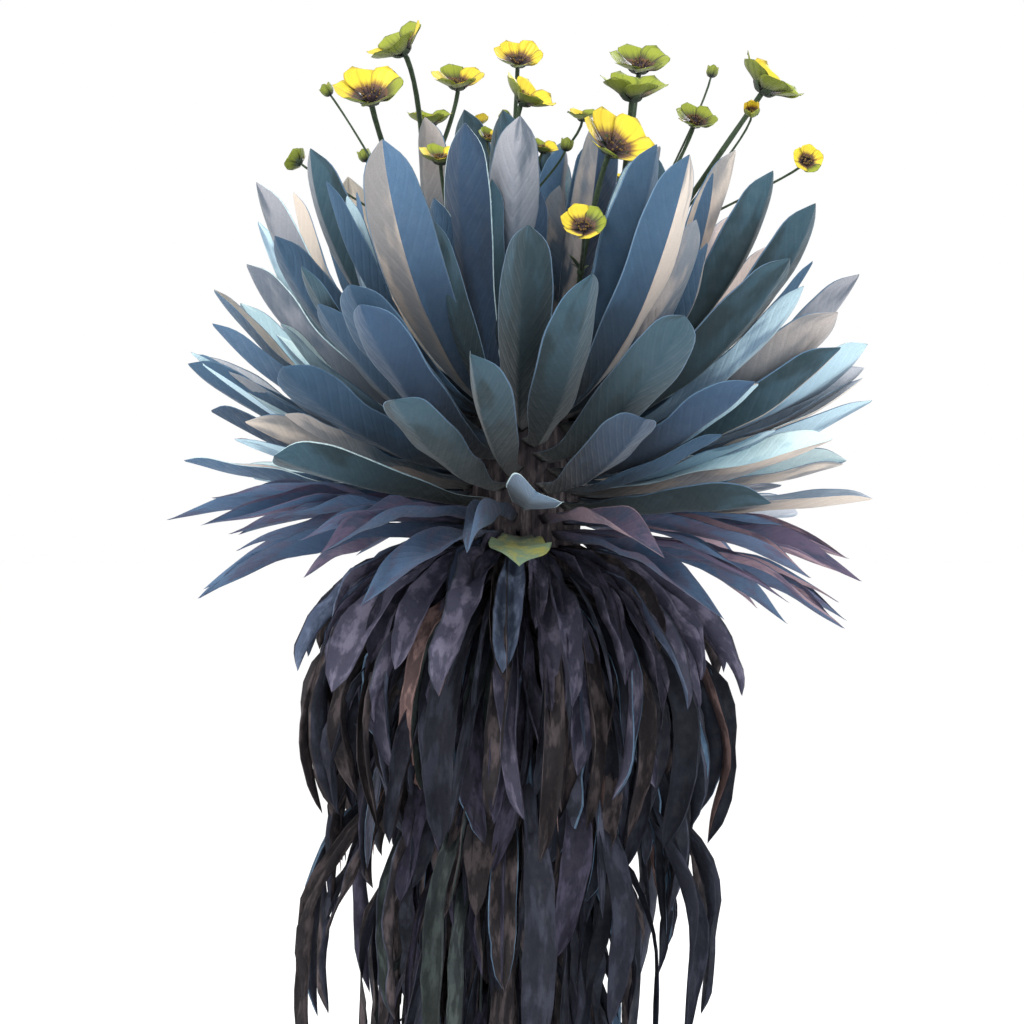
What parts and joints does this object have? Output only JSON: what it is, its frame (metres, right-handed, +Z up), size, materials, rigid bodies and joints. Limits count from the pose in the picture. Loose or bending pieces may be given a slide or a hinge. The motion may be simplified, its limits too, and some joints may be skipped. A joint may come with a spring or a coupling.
{
  "type": "frailejon plant",
  "caption": "Woolly rosette plant of high moors: a trunk in a skirt of dead hanging leaves, a bowl of broad blue-grey leaves, and forked stalks of yellow cup flowers.",
  "frame": {"origin": "middle of the flat cut where the trunk meets the ground", "axes": "+Z up, -Y towards the viewer of the picture, +X to the viewer's right, the side that the plant leans to"},
  "size_m": [0.8921, 0.8884, 1.7088],
  "materials": {
    "bark": "rough, furrowed along the trunk, matt",
    "leaf": "woolly blue-grey leaf, paler inside, soft sheen",
    "fading_leaf": "limp purple-grey leaf, matt",
    "dead_leaf": "dry near-black leaf with brown and purple tints, matt",
    "blossom": "yellow petals with green backs and dark middles on dark green stalks"
  },
  "bodies": {
    "root": {"bud": "leaf", "fading_leaves_1_a": "fading_leaf", "fading_leaves_1_b": "fading_leaf", "fading_leaves_2_a": "fading_leaf", "fading_leaves_2_b": "fading_leaf", "flower_stalk_back": "blossom", "flower_stalk_back_left": "blossom", "flower_stalk_back_right": "blossom", "flower_stalk_far_back": "blossom", "flower_stalk_far_right": "blossom", "flower_stalk_front": "blossom", "flower_stalk_front_left": "blossom", "flower_stalk_front_right": "blossom", "flower_stalk_left": "blossom", "flower_stalk_right": "blossom", "leaves_01_a": "leaf", "leaves_01_b": "leaf", "leaves_02_a": "leaf", "leaves_02_b": "leaf", "leaves_03_a": "leaf", "leaves_03_b": "leaf", "leaves_04_a": "leaf", "leaves_04_b": "leaf", "leaves_05_a": "leaf", "leaves_05_b": "leaf", "leaves_06_a": "leaf", "leaves_06_b": "leaf", "leaves_07_a": "leaf", "leaves_07_b": "leaf", "leaves_08_a": "leaf", "leaves_08_b": "leaf", "leaves_09_a": "leaf", "leaves_09_b": "leaf", "leaves_10_a": "leaf", "leaves_10_b": "leaf", "leaves_11_a": "leaf", "leaves_11_b": "leaf", "skirt_1_a": "dead_leaf", "skirt_1_b": "dead_leaf", "skirt_1_c": "dead_leaf", "skirt_2_a": "dead_leaf", "skirt_2_b": "dead_leaf", "skirt_2_c": "dead_leaf", "skirt_3_a": "dead_leaf", "skirt_3_b": "dead_leaf", "skirt_3_c": "dead_leaf", "skirt_4_a": "dead_leaf", "skirt_4_b": "dead_leaf", "skirt_4_c": "dead_leaf", "skirt_5_a": "dead_leaf", "skirt_5_b": "dead_leaf", "skirt_5_c": "dead_leaf", "skirt_6_a": "dead_leaf", "skirt_6_b": "dead_leaf", "skirt_6_c": "dead_leaf", "skirt_7_a": "dead_leaf", "skirt_7_b": "dead_leaf", "skirt_7_c": "dead_leaf", "trunk": "bark"}
  },
  "joints": []
}
